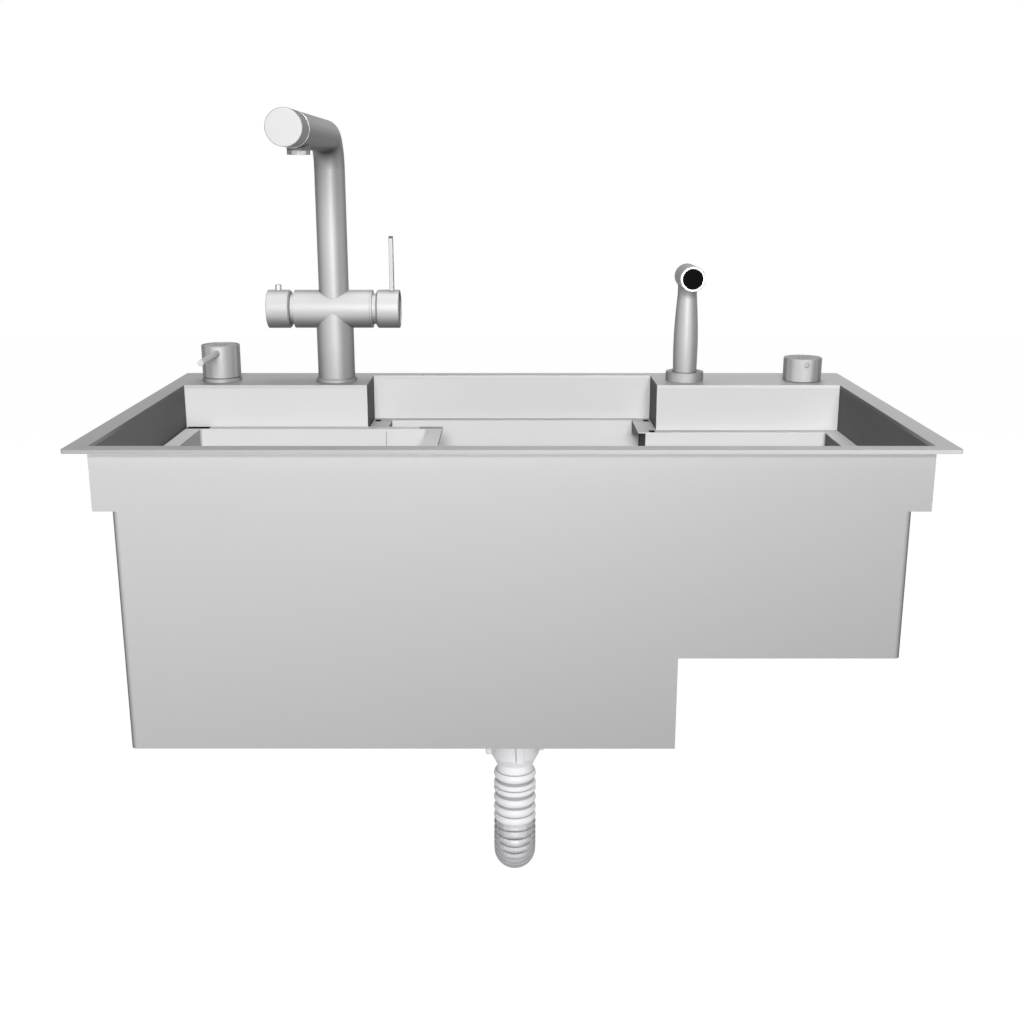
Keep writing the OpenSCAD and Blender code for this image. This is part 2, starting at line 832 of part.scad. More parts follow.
// Middle line of the spout as solids of radius r: riser, quarter bend and level arm up to the end cap
module spout_path(r, foot, end) {
  drum(r, foot, spout_h - spout_bend_r);
  translate([0, -spout_bend_r, spout_h - spout_bend_r]) rotate([90, 0, 90])
    rotate_extrude(angle = 90) translate([spout_bend_r, 0]) circle(r);
  translate([0, 0, spout_h]) along_front() drum(r, spout_bend_r, end);
}

module spout_tube() {
  end = spout_reach - end_cap_len - seam_w;
  foot = cross_h - spout_foot;
  color(satin) at_tap() difference() {
    union() {
      spout_path(spout_r, foot, end);
      translate([0, aerator_back - spout_reach, spout_h])
        drum(aerator_r, -spout_r - boss_drop, -spout_r / 2);
    }
    union() {
      drum(spout_r - spout_wall, foot - overrun, spout_h - spout_bend_r);
      translate([0, -spout_bend_r, spout_h - spout_bend_r]) rotate([90, 0, 90])
        rotate_extrude(angle = 90) translate([spout_bend_r, 0]) circle(spout_r - spout_wall);
      translate([0, 0, spout_h]) along_front() drum(spout_r - spout_wall, spout_bend_r, end + overrun);
    }
    translate([0, aerator_back - spout_reach, spout_h])
      drum(aerator_r - aerator_wall, -spout_r - boss_drop - overrun, 0);
  }
}

module spout_seam_ring() {
  end = spout_reach - end_cap_len;
  color(chrome) at_tap() translate([0, 0, spout_h]) along_front()
    ring(spout_r - spout_wall, spout_r + seam_proud, end - seam_w, end);
}

// Cap with a hollow spigot that closes the arm
module spout_end_cap() {
  end = spout_reach - end_cap_len;
  bore = spout_r - 2 * spout_wall;
  color(satin) at_tap() translate([0, 0, spout_h]) along_front() difference() {
    union() {
      bevel_drum(spout_r, end, spout_reach, 0, end_groove);
      drum(spout_r - spout_wall - run_gap, end - plug_len, end);
    }
    drum(bore, end - plug_len - overrun, spout_reach - spout_wall);
  }
}

// Sleeve inside the boss, with a lip under it
module aerator_shell() {
  color(chrome) at_tap() translate([0, aerator_back - spout_reach, spout_h - spout_r - boss_drop]) {
    ring(aerator_r - 2 * aerator_wall, aerator_r - aerator_wall - run_gap, 0, aerator_drop);
    ring(aerator_r - 2 * aerator_wall, aerator_r, boss_drop - aerator_drop, 0);
  }
}

// Flow straightener with two rings of holes
module aerator_insert() {
  r = aerator_r - 2 * aerator_wall - run_gap;
  color(white) at_tap() translate([0, aerator_back - spout_reach, spout_h - spout_r - boss_drop])
    difference() {
      drum(r, 2 * end_groove + boss_drop - aerator_drop, 0);
      for (q = flow_rings) for (i = [0 : q[1] - 1]) rotate(i * 360 / q[1]) translate([q[0], 0, 0])
        drum(flow_r, -aerator_drop, overrun);
    }
}

// Spindle with the cross pin that the mixer knob tilts on
module mixer_spindle() {
  pin_x = cross_half + neck_len + pivot_in;
  half = knob_r - knob_wall - part_gap;
  color(brass) at_tap() translate([0, 0, cross_h]) {
    along_x() drum(spindle_r, cross_half - cartridge_len + part_gap, pin_x + pivot_r);
    translate([pin_x, 0, 0]) along_front() drum(pivot_r, -half, half);
  }
}

// Hollow knob with two inner bosses for the cross pin
module mixer_knob() {
  start = cross_half + neck_len;
  pin_x = start + pivot_in;
  inside = knob_r - knob_wall;
  color(satin) at_tap() translate([0, 0, cross_h]) difference() {
    union() {
      difference() {
        along_x() bevel_drum(knob_r, start, start + knob_len, knob_chamfer, end_groove);
        along_x() drum(inside, start - overrun, start + knob_len - knob_floor - knob_recess);
      }
      for (s = [-1, 1]) translate([pin_x, s * (inside - boss_len / 2 + part_gap), 0]) along_front()
        drum(boss_r, -boss_len / 2, boss_len / 2);
    }
    translate([pin_x, 0, 0]) along_front()
      drum(pivot_r + run_gap, run_gap - inside, inside - run_gap);
    along_x() drum(inside - sheet_t, start + knob_len - knob_recess, start + knob_len + overrun);
  }
}

// Flat lever with a round tip, its foot cut to the knob's curve
module mixer_lever() {
  x = cross_half + neck_len + knob_len - lever_out;
  foot = cross_h + knob_r;
  tip = foot + lever_h - lever_tip_w / 2;
  color(chrome) at_tap() difference() {
    translate([x - lever_t / 2, 0, 0]) rotate([90, 0, 90]) linear_extrude(lever_t) {
      polygon([[-lever_w / 2, foot - lever_sink], [lever_w / 2, foot - lever_sink],
        [lever_tip_w / 2, tip], [-lever_tip_w / 2, tip]]);
      translate([0, tip]) circle(lever_tip_w / 2);
    }
    translate([0, 0, cross_h]) along_x() drum(knob_r, x - lever_w, x + lever_w);
  }
}

// Small knob with a short shaft that turns in the filter valve
module filter_knob() {
  start = cross_half + neck_len;
  color(satin) at_tap() translate([0, 0, cross_h]) scale([-1, 1, 1]) difference() {
    along_x() {
      bevel_drum(knob_r, start, start + knob_len, knob_chamfer, end_groove);
      drum(spindle_r, cross_half - cartridge_len + part_gap, start + knob_chamfer);
    }
    translate([start + knob_len - pin_from_end, 0, knob_r - pin_sink]) drum(pin_r, 0, pin_sink + overrun);
  }
}

module filter_pin() {
  x = cross_half + neck_len + knob_len - pin_from_end;
  color(chrome) at_tap() translate([-x, 0, cross_h + knob_r - pin_sink])
    bevel_drum(pin_r, 0, pin_sink + pin_h, 0, end_groove);
}

module soap_base_ring() {
  color(satin) at_soap() rotate_extrude() polygon([
    [deck_shank_r + part_gap, 0], [soap_ring_r, 0], [soap_ring_r, soap_ring_h - sheet_t],
    [soap_r - end_groove, soap_ring_h - part_gap], [deck_shank_r + part_gap, soap_ring_h - part_gap]
  ]);
}

// Sleeve through the deck, with an upper neck that the soap head turns on
module soap_shank() {
  color(white) at_soap() {
    ring(soap_tube_r, deck_shank_r, -rim_t - deck_shank_len, soap_ring_h - part_gap);
    ring(soap_tube_r, soap_tube_r + 2 * sheet_t, soap_ring_h - part_gap, soap_h / 2);
  }
}

// Three identical hexagonal nuts under the decks: soap dispenser, hand spray and waste control
module deck_nuts() {
  color(brass) for (x = [-outer_x, spray_x, outer_x]) translate([x, deck_y, -nut_t]) difference() {
    cylinder(r = deck_shank_r + nut_over, h = nut_t, $fn = hex_sides);
    drum(deck_shank_r + run_gap, -overrun, nut_t + overrun);
  }
}

// Bottle with an open neck round the shank's foot
module soap_bottle() {
  top = -rim_t - deck_shank_len;
  neck = deck_shank_r + run_gap;
  shoulder = top - bottle_neck_h / 2;
  foot = shoulder - bottle_h;
  color(cream) at_soap() rotate_extrude() polygon([
    [neck, top + bottle_neck_h], [neck + bottle_wall, top + bottle_neck_h], [neck + bottle_wall, top],
    [bottle_r, shoulder - bottle_neck_h], [bottle_r, foot + bottle_wall], [bottle_r - bottle_wall, foot],
    [0, foot], [0, foot + bottle_wall], [bottle_r - bottle_wall, foot + bottle_wall],
    [bottle_r - bottle_wall, shoulder - bottle_neck_h], [neck, top]
  ]);
}

// Outer sleeve that turns on the shank, with a well for the button and its spring
module soap_sleeve() {
  inside = soap_r - sleeve_wall;
  color(satin) at_soap() difference() {
    bevel_drum(soap_r, soap_ring_h, soap_h, end_groove, end_groove);
    drum(inside, soap_h - button_well, soap_h + overrun);
    drum(soap_tube_r + 2 * sheet_t + run_gap, soap_ring_h - overrun, soap_h / 2 + part_gap);
    drum(pump_r + run_gap, soap_h / 2, soap_h);
    translate([0, 0, nozzle_z]) along_front() drum(nozzle_r, inside - overrun, soap_r + overrun);
  }
}

// Long straight nozzle, closed at its end, with an outlet in its underside
module soap_nozzle() {
  bore = nozzle_r / 2;
  color(satin) at_soap() translate([0, 0, nozzle_z]) difference() {
    along_front() bevel_drum(nozzle_r, soap_r - sleeve_wall, nozzle_reach, 0, end_groove);
    along_front() drum(bore, 0, nozzle_reach - nozzle_end);
    translate([0, nozzle_end + bore - nozzle_reach, 0]) drum(nozzle_out_r, -nozzle_r - overrun, 0);
  }
}

// Three engraved strokes in a round top at height z
module marks(z) {
  for (x = [-1, 0, 1]) translate([x * mark_l, 0, z - mark_depth])
    block(-mark_w / 2, -mark_l / 2, 0, mark_w / 2, mark_l / 2, mark_depth + overrun);
}

// Push button with three engraved strokes, and the plunger that reaches down into the shank
module soap_button() {
  r = soap_r - sleeve_wall - button_gap;
  color(satin) at_soap() difference() {
    union() {
      bevel_drum(r, soap_h - button_t, soap_h - end_groove, 0, end_groove);
      drum(pump_r, soap_h - stem_len, soap_h - button_t);
    }
    marks(soap_h - end_groove);
  }
}

// Return spring round the plunger, drawn as a sleeve
module soap_spring() {
  r = pump_r + button_gap;
  color(steel) at_soap() ring(r, r + spring_wall, soap_h - button_well, soap_h - button_t);
}

// Flanged holder with a stepped socket, and its shank through the deck
module spray_holder() {
  color(satin) at_spray() difference() {
    union() {
      bevel_drum(holder_r, 0, holder_h, 0, end_groove);
      drum(deck_shank_r, -rim_t - deck_shank_len, 0);
    }
    drum(socket_r, -rim_t - deck_shank_len - overrun, holder_h + overrun);
    drum(grip_r + part_gap, holder_h - socket_depth, holder_h + overrun);
  }
}

// The grip swells to a third of its height, then narrows to the head
function grip_radius(s) =
  let (foot = grip_r * grip_foot_share)
  s < swell_share ? foot + (grip_r - foot) * sin(90 * s / swell_share) :
  grip_top_r + (grip_r - grip_top_r) * cos(90 * (s - swell_share) / (1 - swell_share));

module spray_grip() {
  foot = holder_h - socket_depth + part_gap;
  span = grip_top_h - foot;
  side = [for (i = [0 : grip_steps]) [grip_radius(i / grip_steps), foot + span * i / grip_steps]];
  color(satin) at_spray() difference() {
    rotate_extrude() polygon(concat(
      [[0, foot - grip_tail], [socket_r - run_gap, foot - grip_tail], [socket_r - run_gap, foot]],
      side,
      [[grip_top_r, head_h - head_r / 2], [0, head_h - head_r / 2]]
    ));
    translate([0, 0, head_h]) along_front() drum(head_r, -head_back - overrun, head_front);
    translate([0, grip_top_r - trigger_t - part_gap, trigger_z])
      block(-trigger_w / 2 - part_gap, 0, -trigger_h / 2 - part_gap, trigger_w / 2 + part_gap, grip_r,
        trigger_h / 2 + part_gap);
    drum(nozzle_r, foot - grip_tail - overrun, foot - grip_tail + socket_r);
  }
}

module spray_head() {
  color(satin) at_spray() translate([0, 0, head_h]) along_front() difference() {
    bevel_drum(head_r, -head_back, head_front - face_ring_len, knob_chamfer, 0);
    drum(face_r, head_front - face_ring_len - face_depth, head_front);
  }
}

module spray_ring() {
  color(chrome) at_spray() translate([0, 0, head_h]) along_front()
    difference() {
      bevel_drum(head_r, head_front - face_ring_len, head_front, 0, end_groove);
      drum(face_r, head_front - face_ring_len - overrun, head_front + overrun);
    }
}

// Black face with two rings of soft jets and one in the middle
module spray_face() {
  base = head_front - face_ring_len - face_depth;
  top = head_front - face_sink;
  color(black) at_spray() translate([0, 0, head_h]) along_front() {
    drum(face_r - run_gap, base, top);
    drum(jet_r, top, top + jet_h);
    for (q = jet_rings) for (i = [0 : q[1] - 1]) rotate(i * 360 / q[1])
      translate([q[0], 0, top]) cylinder(r = jet_r, h = jet_h);
  }
}

// Thumb button let into the back of the grip, bulging in the middle
module spray_trigger() {
  back = grip_r + trigger_travel;
  color(black) at_spray() translate([0, 0, trigger_z]) intersection() {
    block(-trigger_w / 2, grip_top_r - trigger_t + trigger_travel, -trigger_h / 2, trigger_w / 2, back,
      trigger_h / 2);
    translate([0, back - trigger_round, 0]) along_x() drum(trigger_round, -trigger_w, trigger_w);
  }
}

// Fixed foot of the waste control, with its shank and the post that the knob turns on
module control_base() {
  color(brass) at_control() {
    drum(deck_shank_r, -rim_t - deck_shank_len, 0);
    drum(control_r - 2 * sheet_t, 0, sheet_t);
    drum(spindle_r, sheet_t, control_h / 2);
  }
}

// Plain knob with a grub screw's recess at the front and three engraved strokes on top
module control_knob() {
  color(satin) at_control() difference() {
    bevel_drum(control_r, part_gap, control_h, end_groove, end_groove);
    drum(control_r - 2 * sheet_t + part_gap, -overrun, sheet_t + part_gap);
    drum(spindle_r + run_gap, -overrun, control_h / 2 + part_gap);
    translate([0, 0, control_h * screw_share]) along_front()
      drum(screw_r, control_r - screw_depth, control_r + overrun);
    marks(control_h);
  }
}

// Drain plug: a shallow dome with a seal at its edge and a stem that slides in the basket's guide
module waste_plug() {
  top = basket_rim_z + part_gap + basket_rim_t + plug_t;
  r = throat_r - plug_seal;
  color(chrome) at_drain() {
    rotate_extrude() polygon([[0, top - plug_t], [r, top - plug_t], [r, top - plug_t / 2],
      [r / 2, top - dome_drop], [0, top]]);
    drum(stem_r, top - plug_t - basket_depth / 2, top - plug_t);
  }
}

basket_out = throat_r - seat_w - basket_gap;
basket_rim_z = floor_top + flange_t - throat_seat + part_gap;
basket_foot = basket_rim_z - basket_depth;

// Basket's rim and its side wall with slots
module strainer_basket() {
  color(steel) at_drain() difference() {
    rotate_extrude() polygon([
      [basket_out - basket_wall, basket_foot], [basket_out, basket_foot], [basket_out, basket_rim_z],
      [throat_r - basket_gap, basket_rim_z], [throat_r - basket_gap, basket_rim_z + basket_rim_t],
      [basket_out - basket_wall, basket_rim_z + basket_rim_t]
    ]);
    for (i = [0 : basket_slots - 1]) rotate(i * 360 / basket_slots)
      block(basket_out - 2 * basket_wall, -slot_w / 2, basket_foot + 2 * slot_w, basket_out + overrun,
        slot_w / 2, basket_rim_z - slot_w);
  }
}

// Basket's floor with slots, and the guide tube for the plug's stem
module basket_floor() {
  r = basket_out - basket_wall - run_gap;
  color(steel) at_drain() difference() {
    union() {
      drum(r, basket_foot, basket_foot + basket_wall);
      drum(guide_r, basket_foot, basket_rim_z - basket_rim_t);
    }
    drum(stem_r + run_gap, basket_foot + basket_wall, basket_rim_z + overrun);
    for (i = [0 : basket_slots - 1]) rotate(i * 360 / basket_slots)
      block(guide_r + slot_w, -slot_w / 2, basket_foot - overrun, r - 2 * slot_w, slot_w / 2,
        basket_foot + basket_wall + overrun);
  }
}

tray_back = deck_front - free_gap;
tray_front = open_front + free_gap;
tray_top = ledge_z + tray_lift;
tray_foot = tray_top - tray_depth;

// Outline of the tray, inset by ex at the two sides and by ey at the front and back
module tray_plan(ex, ey, r) {
  round_rect(tray_left + ex, tray_front + ey, tray_left + tray_w - ex, tray_back - ey, r);
}

// Open tub with a hemmed flange round its top, cut away at the back corners, and a seam in its back wall
module tray_tub() {
  notch_y = tray_back - tray_flange_w + tray_t + part_gap;
  seam_x = tray_left + tub_seam_in;
  seam_y = tray_back - tray_flange_w - tray_t;
  color(steel) difference() {
    union() {
      slab(tray_top - hem_t, tray_top) tray_plan(0, 0, tray_corner_r);
      slab(tray_foot, tray_top - hem_t) tray_plan(tray_side_w, tray_flange_w, tray_corner_r);
    }
    slab(tray_foot - overrun, tray_top + overrun)
      tray_plan(tray_side_w + tray_t, tray_flange_w + tray_t, tray_corner_r - tray_t);
    block(tray_left - overrun, notch_y, tray_top - hem_t - overrun, tray_left + glide_l + part_gap,
      tray_back + overrun, tray_top + overrun);
    block(tray_left + tray_w - glide_l - part_gap, notch_y, tray_top - hem_t - overrun,
      tray_left + tray_w + overrun, tray_back + overrun, tray_top + overrun);
    block(seam_x, seam_y - overrun, tray_foot + floor_t, seam_x + tub_seam_w, seam_y + tub_seam_d,
      tray_top + overrun);
  }
}

// Floor sheet of the tub, with rows of long drain slots
module tray_floor() {
  x0 = tray_left + tray_side_w + tray_t + tray_slot_margin;
  y0 = tray_front + tray_flange_w + tray_t + tray_slot_margin;
  pitch_x = (tray_w - 2 * (tray_side_w + tray_t + tray_slot_margin)) / slot_cols;
  pitch_y = (tray_back - tray_front - 2 * (tray_flange_w + tray_t + tray_slot_margin)) / slot_rows;
  half = pitch_x * slot_share / 2;
  color(steel) slab(tray_foot, tray_foot + floor_t) difference() {
    tray_plan(tray_side_w + tray_t, tray_flange_w + tray_t, tray_corner_r - tray_t);
    for (i = [0 : slot_cols - 1], j = [0 : slot_rows - 1])
      translate([x0 + i * pitch_x + pitch_x / 2, y0 + j * pitch_y + pitch_y / 2])
        round_rect(-half, -tray_slot_w / 2, half, tray_slot_w / 2, tray_slot_w / 2 - part_gap);
  }
}

// Glides under the two front corners of the flange and at its back right corner
module tray_glides() {
  foot = ledge_z + part_gap;
  x1 = tray_left + tray_w;
  color(glide_grey) {
    for (x = [tray_left + tray_corner_r, x1 - glide_l - tray_corner_r])
      block(x, tray_front, foot, x + glide_l, tray_front + glide_w, tray_top - hem_t);
    block(x1 - glide_l, tray_back - tray_flange_w + tray_t + 2 * part_gap, foot, x1, tray_back, tray_top);
  }
}

// Black buffer at the flange's back left corner
module tray_stop() {
  foot = ledge_z + part_gap;
  y = tray_back - tray_flange_w + tray_t + 2 * part_gap;
  color(black) block(tray_left, y, foot, tray_left + glide_l, tray_back, tray_top);
}

rim_plate();
rim_seal();
upper_walls();
ledge();
ledge_inserts();
ledge_supports();
front_rail();
front_panel();
bowl_walls();
niche_walls();
deep_floor();
shallow_floor();
sound_pads();
drain_flange();
drain_gasket();
drain_lock_ring();
waste_body();
wing_nut();
bellows_pipe();
ribbed_bend();
outlet_spigot();
tap_base_ring();
tap_body();
tap_shank();
tap_shank_nut();
tap_cartridges();
neck_collars();
spout_tube();
spout_seam_ring();
spout_end_cap();
aerator_shell();
aerator_insert();
mixer_spindle();
mixer_knob();
mixer_lever();
filter_knob();
filter_pin();
soap_base_ring();
soap_shank();
deck_nuts();
soap_bottle();
soap_sleeve();
soap_nozzle();
soap_button();
soap_spring();
spray_holder();
spray_grip();
spray_head();
spray_ring();
spray_face();
spray_trigger();
control_base();
control_knob();
waste_plug();
strainer_basket();
basket_floor();
tray_tub();
tray_floor();
tray_glides();
tray_stop();
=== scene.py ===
import json
import math
import bpy
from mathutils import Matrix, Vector


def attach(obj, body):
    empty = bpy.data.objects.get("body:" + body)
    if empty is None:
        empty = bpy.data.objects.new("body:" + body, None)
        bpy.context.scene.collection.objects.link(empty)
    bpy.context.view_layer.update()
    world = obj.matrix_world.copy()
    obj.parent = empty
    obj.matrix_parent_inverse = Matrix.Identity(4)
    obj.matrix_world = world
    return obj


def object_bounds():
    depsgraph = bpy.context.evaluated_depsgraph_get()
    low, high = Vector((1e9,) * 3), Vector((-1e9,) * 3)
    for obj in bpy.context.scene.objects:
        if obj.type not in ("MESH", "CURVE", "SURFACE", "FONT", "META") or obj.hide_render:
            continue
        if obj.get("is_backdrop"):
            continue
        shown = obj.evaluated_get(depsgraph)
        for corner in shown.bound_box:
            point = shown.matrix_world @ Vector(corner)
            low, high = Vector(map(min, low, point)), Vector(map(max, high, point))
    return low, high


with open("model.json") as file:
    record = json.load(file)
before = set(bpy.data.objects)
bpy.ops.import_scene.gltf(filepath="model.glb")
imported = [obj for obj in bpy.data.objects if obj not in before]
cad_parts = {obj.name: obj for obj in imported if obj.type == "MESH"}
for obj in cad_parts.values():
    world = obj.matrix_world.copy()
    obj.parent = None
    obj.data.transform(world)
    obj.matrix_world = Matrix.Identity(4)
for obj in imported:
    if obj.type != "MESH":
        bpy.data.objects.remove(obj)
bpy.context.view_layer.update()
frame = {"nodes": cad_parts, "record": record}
nodes = frame["nodes"]
print("frame loaded:", len(nodes), "nodes")

black = (0, 0, 0, 1)
white = (1, 1, 1, 1)
flat = (1, 1, 0)  # leaves out the height
mixFactor, mixFirst, mixSecond, mixResult = 0, 6, 7, 2  # the Mix node's sockets for colours
lookPlan = {"creaseSamples": 8, "edgeSamples": 4, "roundSamples": 8, "slantBlend": 0.5}


class Wire:
    # A shader socket that can be used in sums; every result is a new node's output.

    def __init__(self, tree, socket):
        self.tree = tree
        self.socket = socket

    def feed(self, target, value):
        if isinstance(value, Wire):
            self.tree.links.new(value.socket, target)
        elif isinstance(value, bpy.types.NodeSocket):
            self.tree.links.new(value, target)
        else:
            target.default_value = value

    def make(self, kind, settings=None, inputs=None, out=0):
        node = self.tree.nodes.new(kind)
        for key, value in (settings or {}).items():
            setattr(node, key, value)
        for key, value in (inputs or {}).items():
            self.feed(node.inputs[key], value)
        return Wire(self.tree, node.outputs[out])

    def calc(self, operation, *others, clamp=False):
        inputs = {0: self}
        inputs.update({i + 1: v for i, v in enumerate(others)})
        return self.make("ShaderNodeMath", {"operation": operation, "use_clamp": clamp}, inputs)

    def __add__(self, other):
        return self.calc("ADD", other)

    def __sub__(self, other):
        return self.calc("SUBTRACT", other)

    def __mul__(self, other):
        return self.calc("MULTIPLY", other)

    def clamped(self):
        return self.calc("ADD", 0.0, clamp=True)

    def vector(self, operation, *others, out="Vector"):
        inputs = {0: self}
        inputs.update({i + 1: v for i, v in enumerate(others)})
        return self.make("ShaderNodeVectorMath", {"operation": operation}, inputs, out)

    def scaled(self, vector):
        return self.vector("MULTIPLY", vector)

    def part(self, axis):
        return self.make("ShaderNodeSeparateXYZ", {}, {0: self}, "xyz".index(axis))

    def noise(self, scale, detail, rough=0.55):
        inputs = {"Vector": self, "Scale": scale, "Detail": detail, "Roughness": rough}
        return self.make("ShaderNodeTexNoise", {}, inputs)

    def between(self, low, high):
        # This value, from 0 to 1, turned into a colour between two others.
        inputs = {mixFactor: self, mixFirst: low, mixSecond: high}
        return self.make("ShaderNodeMix", {"data_type": "RGBA"}, inputs, mixResult)

    def spread(self, low, high, fromLow, fromHigh, style="LINEAR"):
        # low below fromLow, high above fromHigh, and a ramp from one to the other
        inputs = {0: self, 1: fromLow, 2: fromHigh, 3: low, 4: high}
        return self.make("ShaderNodeMapRange", {"interpolation_type": style}, inputs)

    def creaseShade(self, s):
        # Painted shade in grooves: 1 in the open, less inside a groove
        settings = {"samples": lookPlan["creaseSamples"], "only_local": True}
        inputs = {"Distance": s["creaseDepth"]}
        seen = self.make("ShaderNodeAmbientOcclusion", settings, inputs, "AO")
        return seen.spread(1.0 - s["crease"], 1.0, *s["creaseSpan"])

    def rounded(self, radius, samples):
        return self.make("ShaderNodeBevel", {"samples": samples}, {"Radius": radius})

    def slant(self, **inputs):
        # 0 where the surface faces the eye, 1 where it is seen edge on
        inputs["Blend"] = lookPlan["slantBlend"]
        return self.make("ShaderNodeLayerWeight", {}, inputs, "Facing")


def grey(value, tint=0.0):
    return (value * (1 - tint), value * (1 - tint), value * (1 + tint), 1.0)


def newMaterial(name):
    mat = bpy.data.materials.new(name)
    mat.use_nodes = True
    tree = mat.node_tree
    shader = tree.nodes["Principled BSDF"]
    place = Wire(tree, tree.nodes.new("ShaderNodeTexCoord").outputs["Object"])
    return mat, shader, place


metalGrain = {"detail": 4.0, "rough": 0.65, "blotchDetail": 2.0, "edgeSpan": (0.5, 0.56),
              "roughSwing": 0.04, "depth": 0.0004}
sheetEdge = {"innerSpan": (0.3, 0.85, "SMOOTHSTEP"), "outerSpan": (-0.2, -0.1),
             "topSpan": (0.3, 0.7)}


def paintedShading(s, place):
    # Painted light and shade: how much of its colour the metal shows, 1 is all of it.
    inputs = {}
    if "round" in s:
        inputs["Normal"] = place.rounded(s["round"], lookPlan["roundSamples"])
    slant = place.slant(**inputs)
    normal = place.make("ShaderNodeTexCoord", out="Normal")
    level = slant.spread(1.0, s["slant"], *s["slantSpan"])  # the studio's sides are dark
    if "ripple" in s:
        # Painted reflection: bands where the tone swings up and down with the slant.
        level = level + (slant * s["ripples"]).calc("SINE") * s["ripple"]
    if "crease" in s:
        # Painted shade in grooves
        level = level * place.creaseShade(s)
    if "side" in s:
        # Painted shade: the rim's outer cut edge is held darker than a face seen head on; the inner
        # ones run on into the walls.
        inner = slant.spread(*s["inner"], *sheetEdge["innerSpan"])
        cut = place.part("y").spread(s["side"], inner, *sheetEdge["outerSpan"])
        level = normal.part("z").spread(cut, level, *sheetEdge["topSpan"])
    # Painted light and shade by which way the surface faces: lighter tops, darker undersides and +x
    # sides
    for axis, *ramp in s.get("turns", ()):
        level = level * normal.part(axis).spread(*ramp)
    if "valley" in s:
        # Painted reflection: a dark band down the right of each cylinder
        tone, start, full, back, end = s["valley"]
        left = normal.part("x").spread(1.0, tone, start, full)
        level = level * left.calc("MAXIMUM", normal.part("x").spread(tone, 1.0, back, end))
    if "arm" in s:
        # The level arm mirrors the dark bowl below it, the riser doesn't.
        shade = normal.part("z").spread(*s["arm"])
        level = level * place.part("y").spread(shade, 1.0, *s["armSpan"])
    # Painted light: a gradient of tone across x and z over the part
    if "fade" in s:
        base, perX, perZ = s["fade"]
        fade = (place.part("x") * perX) + (place.part("z") * perZ) + base
        if "outside" in s:
            # The painted shade falls only on outer faces, those whose normal points away from the
            # middle.
            away = normal.vector("DOT_PRODUCT", place.scaled(flat), out="Value")
            fade = away.spread(1.0, fade, *s["outside"])
        level = level * fade
    # Painted light and shade by place: the panel is lifted just under the rim against its shadow,
    # the ledge darkened at the back
    for axis, *ramp in s.get("spans", ()):
        level = level * place.part(axis).spread(*ramp)
    if "seam" in s:
        # Dark line in the seam of the tub's back wall, which ends under the flange
        reach = (place.part("x") - s["seam"]).calc("ABSOLUTE")
        line = reach.spread(s["seamTone"], 1.0, *s["seamSpan"])
        level = level * place.part("z").spread(line, 1.0, *s["seamTop"])
    return level


def metalMaterial(name, s):
    # Brushed or satin metal: streaks along one axis, slow blotches, brighter worn edges, and
    # painted light and shade over them.
    mat, shader, place = newMaterial(name)
    g = metalGrain
    streaks = place.scaled(s["brush"]).noise(1.0, g["detail"], g["rough"])
    blotch = place.noise(s["blotch"], g["blotchDetail"])
    edge = place.make("ShaderNodeNewGeometry", out="Pointiness").spread(0.0, 1.0, *g["edgeSpan"])
    middle = 0.5 * (1 - s["streak"] - s["blotchDepth"])  # keeps the mean half way
    tone = (streaks * s["streak"]) + (blotch * s["blotchDepth"]) + middle
    colour = tone.between(grey(s["dark"], s["tint"]), grey(s["light"], s["tint"]))
    worn = colour.vector("ADD", edge * s["wear"])
    place.feed(shader.inputs["Base Color"], worn.scaled(paintedShading(s, place)))
    rough = streaks.spread(s["rough"] - g["roughSwing"], s["rough"] + g["roughSwing"], 0.0, 1.0)
    place.feed(shader.inputs["Roughness"], rough)
    shader.inputs["Specular IOR Level"].default_value = s["gloss"]
    shader.inputs["Metallic"].default_value = s["metallic"]
    bumpInputs = {"Strength": s["bump"], "Distance": g["depth"], "Height": streaks}
    if s["edge"]:
        bumpInputs["Normal"] = place.rounded(s["edge"], lookPlan["edgeSamples"])
    place.feed(shader.inputs["Normal"], place.make("ShaderNodeBump", {}, bumpInputs))
    return mat


plasticGrain = {"detail": 3.0, "fineScale": 12.0, "fineDetail": 2.0, "share": 0.7,
                "roughSwing": 0.05, "depth": 0.0003}


def plasticMaterial(name, s):
    mat, shader, place = newMaterial(name)
    g = plasticGrain
    blotch = place.noise(s["grain"], g["detail"])
    fine = place.noise(s["grain"] * g["fineScale"], g["fineDetail"])
    colour = ((blotch * g["share"]) + (fine * (1 - g["share"]))).between(s["low"], s["high"])
    if "crease" in s:
        # Painted shade: grooves a few millimetres deep stay darker.
        colour = place.creaseShade(s).between(black, colour)
    if "axis" in s:
        # Painted shade line at the foot of each rib, told by how far it lies from the pipe's axis
        reach = place.vector("SUBTRACT", s["axis"]).scaled(flat).vector("LENGTH", out="Value")
        neck = reach.spread(1.0, 0.0, *s["neckSpan"])
        groove = reach.spread(s["grooveTone"], 1.0, *s["grooveSpan"])
        colour = groove.calc("MAXIMUM", neck).between(black, colour)
    if "slant" in s:
        # Painted shade where the surface is seen edge on, with painted reflection bands that swing
        # with the slant
        slant = place.slant()
        level = slant.spread(1.0, s["slant"], *s["slantSpan"])
        colour = (level + (slant * s["ripples"]).calc("SINE") * s["ripple"]).between(black, colour)
    place.feed(shader.inputs["Base Color"], colour)
    rough = fine.spread(s["rough"] - g["roughSwing"], s["rough"] + g["roughSwing"], 0.0, 1.0)
    place.feed(shader.inputs["Roughness"], rough)
    shader.inputs["Specular IOR Level"].default_value = s["gloss"]
    shader.inputs["Metallic"].default_value = s["metallic"]
    bumpInputs = {"Strength": s["bump"], "Distance": g["depth"], "Height": fine,
                  "Normal": place.rounded(s["edge"], lookPlan["edgeSamples"])}
    place.feed(shader.inputs["Normal"], place.make("ShaderNodeBump", {}, bumpInputs))
    return mat
